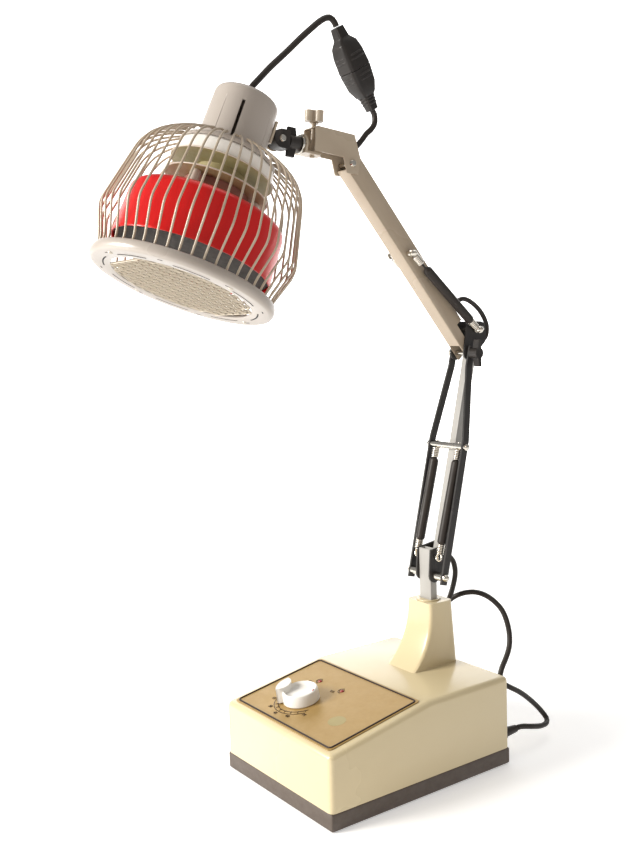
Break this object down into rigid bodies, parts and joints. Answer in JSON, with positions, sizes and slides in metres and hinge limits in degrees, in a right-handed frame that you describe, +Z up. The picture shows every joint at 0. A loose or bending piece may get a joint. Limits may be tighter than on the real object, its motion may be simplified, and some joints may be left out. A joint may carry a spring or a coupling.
{
  "type": "desktop far-infrared mineral therapy lamp",
  "caption": "Desktop infrared therapy lamp: wedge base with timer knob, swivel post, spring-balanced two-part arm and a wire-caged heater head with a tilting mount.",
  "frame": {"origin": "centre of the base's underside", "axes": "+Z up; -Y is the front, where the sloped control panel is and the head reaches out; +X is the side of the elbow knob"},
  "size_m": [0.1992, 0.51, 0.8163],
  "materials": {
    "black_plastic": "fine grain",
    "black_steel": "semi-gloss black",
    "brass": "dull",
    "ceramic": "unglazed",
    "chrome": "plated",
    "cream_paint": "semi-gloss cream",
    "cream_plastic": "moulded, semi-gloss",
    "dark_tray": "textured",
    "gold_sticker": "printed metallic film",
    "grey_paint": "semi-gloss light grey",
    "lamp_red": "clear lens",
    "mineral": "matte coating",
    "olive_board": "heat-proof board",
    "red_anodised": "red anodised",
    "rubber": "matte",
    "white_plastic": "semi-gloss",
    "zinc": "zinc plated"
  },
  "bodies": {
    "base": {"base_housing": "cream_plastic", "base_tray": "dark_tray", "control_panel": "gold_sticker", "cord_gland": "rubber", "indicator_lamp_1": "lamp_red", "indicator_lamp_2": "lamp_red", "mains_inlet": "black_plastic", "supply_cord": "rubber", "timer_module": "white_plastic"},
    "timer_knob": {"timer_knob": "white_plastic"},
    "post": {"lower_pivot_pin": "brass", "post": "grey_paint", "post_bracket_left": "black_steel", "post_bracket_right": "black_steel", "post_collar": "cream_plastic", "rear_pivot_pin": "chrome"},
    "lower_arm": {"cross_rod": "black_steel", "lower_bar_left": "black_steel", "lower_bar_right": "black_steel"},
    "lower_springs": {"lower_spring_left": "black_steel", "lower_spring_right": "black_steel"},
    "rear_link": {"rear_link": "grey_paint"},
    "elbow": {"elbow_bolt": "chrome", "elbow_cord": "rubber", "elbow_plate_left": "black_steel", "elbow_plate_right": "black_steel", "link_pin": "chrome", "spring_anchor_pin": "chrome"},
    "elbow_knob": {"elbow_knob": "black_plastic"},
    "upper_arm": {"arm_lead": "rubber", "bracket_bolt": "chrome", "cord_plug": "rubber", "cord_socket": "rubber", "head_bracket": "cream_paint", "head_cord": "rubber", "upper_arm": "cream_paint", "upper_spring_pin": "chrome"},
    "upper_springs": {"upper_spring_left": "black_steel", "upper_spring_right": "black_steel"},
    "thumb_screw": {"thumb_screw": "cream_plastic"},
    "yoke": {"swivel_yoke": "cream_paint"},
    "knuckle": {"knuckle_block": "black_plastic", "tilt_stud": "chrome"},
    "tilt_knob": {"tilt_knob": "black_plastic"},
    "head": {"cage_ring": "black_steel", "cap_grommet": "rubber", "drum": "white_plastic", "guard_cage": "cream_paint", "guard_grille": "cream_paint", "head_cap": "cream_paint", "head_saddle": "zinc", "heat_shields": "olive_board", "heater_cup": "red_anodised", "heating_element": "ceramic", "inner_can": "red_anodised", "knuckle_pin": "chrome", "mineral_plate": "mineral", "standoff_1": "ceramic", "standoff_2": "ceramic", "standoff_3": "ceramic"}
  },
  "joints": [
    {"name": "post_swivel", "type": "hinge", "parent": "base", "child": "post", "pos_m": [0, 0.0955, 0.1744], "axis": [0, 0, 1], "range_deg": [-90, 90], "deforming": ["supply_cord"]},
    {"name": "lower_arm_hinge", "type": "hinge", "parent": "post", "child": "lower_arm", "pos_m": [0, 0.0955, 0.2046], "axis": [1, 0, 0], "range_deg": [-3.5, 50]},
    {"name": "lower_spring_turn", "type": "hinge", "parent": "post", "child": "lower_springs", "pos_m": [0, 0.0963, 0.2266], "axis": [1, 0, 0], "range_deg": [-4.16, 58.15]},
    {"name": "rear_link_hinge", "type": "hinge", "parent": "post", "child": "rear_link", "pos_m": [0, 0.1145, 0.2322], "axis": [1, 0, 0], "range_deg": [-3.5, 50]},
    {"name": "elbow_hinge", "type": "hinge", "parent": "lower_arm", "child": "elbow", "pos_m": [0, 0.15613, 0.45908], "axis": [1, 0, 0], "range_deg": [-50, 3.5], "deforming": ["elbow_cord"]},
    {"name": "elbow_knob_turn", "type": "hinge", "parent": "elbow", "child": "elbow_knob", "pos_m": [0, 0.15613, 0.45908], "axis": [1, 0, 0], "range_deg": [0, 720]},
    {"name": "upper_arm_hinge", "type": "hinge", "parent": "elbow", "child": "upper_arm", "pos_m": [0, 0.15613, 0.45908], "axis": [1, 0, 0], "range_deg": [-25, 40]},
    {"name": "upper_spring_turn", "type": "hinge", "parent": "elbow", "child": "upper_springs", "pos_m": [0, 0.16512, 0.48608], "axis": [1, 0, 0], "range_deg": [-26.25, 41.94]},
    {"name": "thumb_screw_turn", "type": "hinge", "parent": "upper_arm", "child": "thumb_screw", "pos_m": [0, -0.04951, 0.70009], "axis": [0, 0.1132, 0.9936], "range_deg": [0, 720]},
    {"name": "head_pan", "type": "hinge", "parent": "upper_arm", "child": "yoke", "pos_m": [0, -0.04951, 0.70009], "axis": [0, 0.1132, 0.9936], "range_deg": [-50, 50]},
    {"name": "head_roll", "type": "hinge", "parent": "yoke", "child": "knuckle", "pos_m": [0, -0.00359, 0.67473], "axis": [0, -0.9936, 0.1132], "range_deg": [-45, 45]},
    {"name": "tilt_knob_turn", "type": "hinge", "parent": "yoke", "child": "tilt_knob", "pos_m": [0, -0.00359, 0.67473], "axis": [0, -0.9936, 0.1132], "range_deg": [0, 720]},
    {"name": "head_tilt", "type": "hinge", "parent": "knuckle", "child": "head", "pos_m": [0, -0.09401, 0.68503], "axis": [1, 0, 0], "range_deg": [-35, 35], "deforming": ["head_cord"]},
    {"name": "timer_knob_turn", "type": "hinge", "parent": "base", "child": "timer_knob", "pos_m": [-0.022, -0.07357, 0.08683], "axis": [0, 0.171, -0.9853], "range_deg": [0, 300]}
  ],
  "couplings": [
    {"joint": "lower_spring_turn", "follows": "lower_arm_hinge", "ratio": 1.161},
    {"joint": "rear_link_hinge", "follows": "lower_arm_hinge", "ratio": 1},
    {"joint": "elbow_hinge", "follows": "lower_arm_hinge", "ratio": -1},
    {"joint": "upper_spring_turn", "follows": "upper_arm_hinge", "ratio": 1.046}
  ]
}
